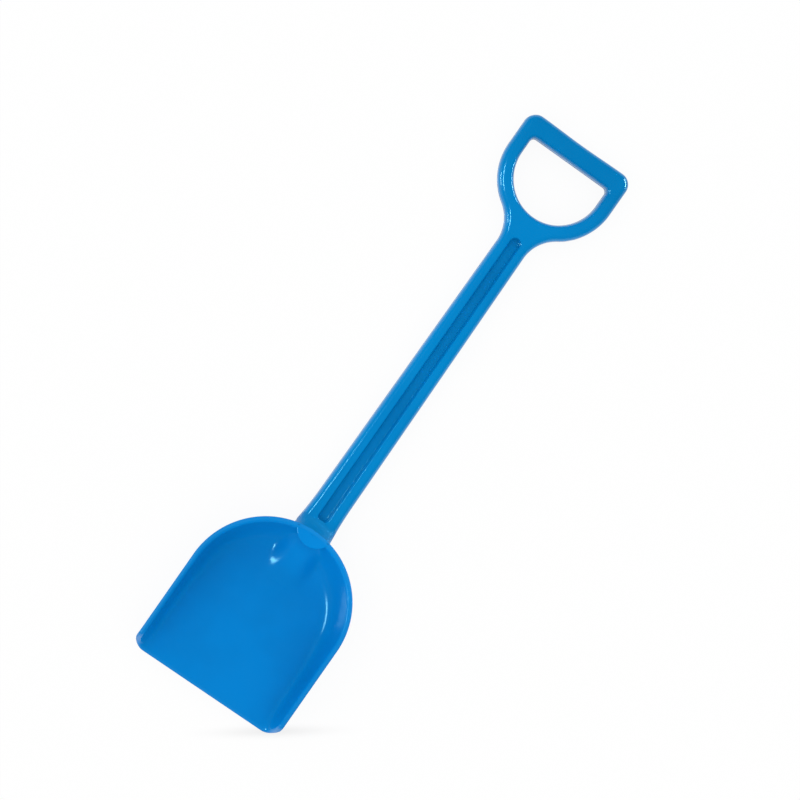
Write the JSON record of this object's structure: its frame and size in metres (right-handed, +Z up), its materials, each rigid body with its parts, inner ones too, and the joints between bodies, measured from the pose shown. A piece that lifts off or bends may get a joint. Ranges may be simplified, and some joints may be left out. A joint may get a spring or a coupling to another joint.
{
  "type": "sand shovel",
  "caption": "Child's sand shovel: flat-rimmed scoop blade with an arched heel, grooved shaft and D-shaped hand grip, snapped together.",
  "frame": {"origin": "bottom centre of the whole shovel's bounding box, as it lies on its back", "axes": "+Y from the digging edge to the grip, +Z up out of the dish, +X to the right"},
  "size_m": [0.109, 0.42, 0.024],
  "materials": {
    "blade_plastic": "glossy injection-moulded polypropylene, self-coloured bright blue, slightly translucent",
    "handle_plastic": "glossy injection-moulded polypropylene, self-coloured bright blue, slightly translucent"
  },
  "bodies": {
    "root": {"blade": "blade_plastic", "handle": "handle_plastic"}
  },
  "joints": []
}
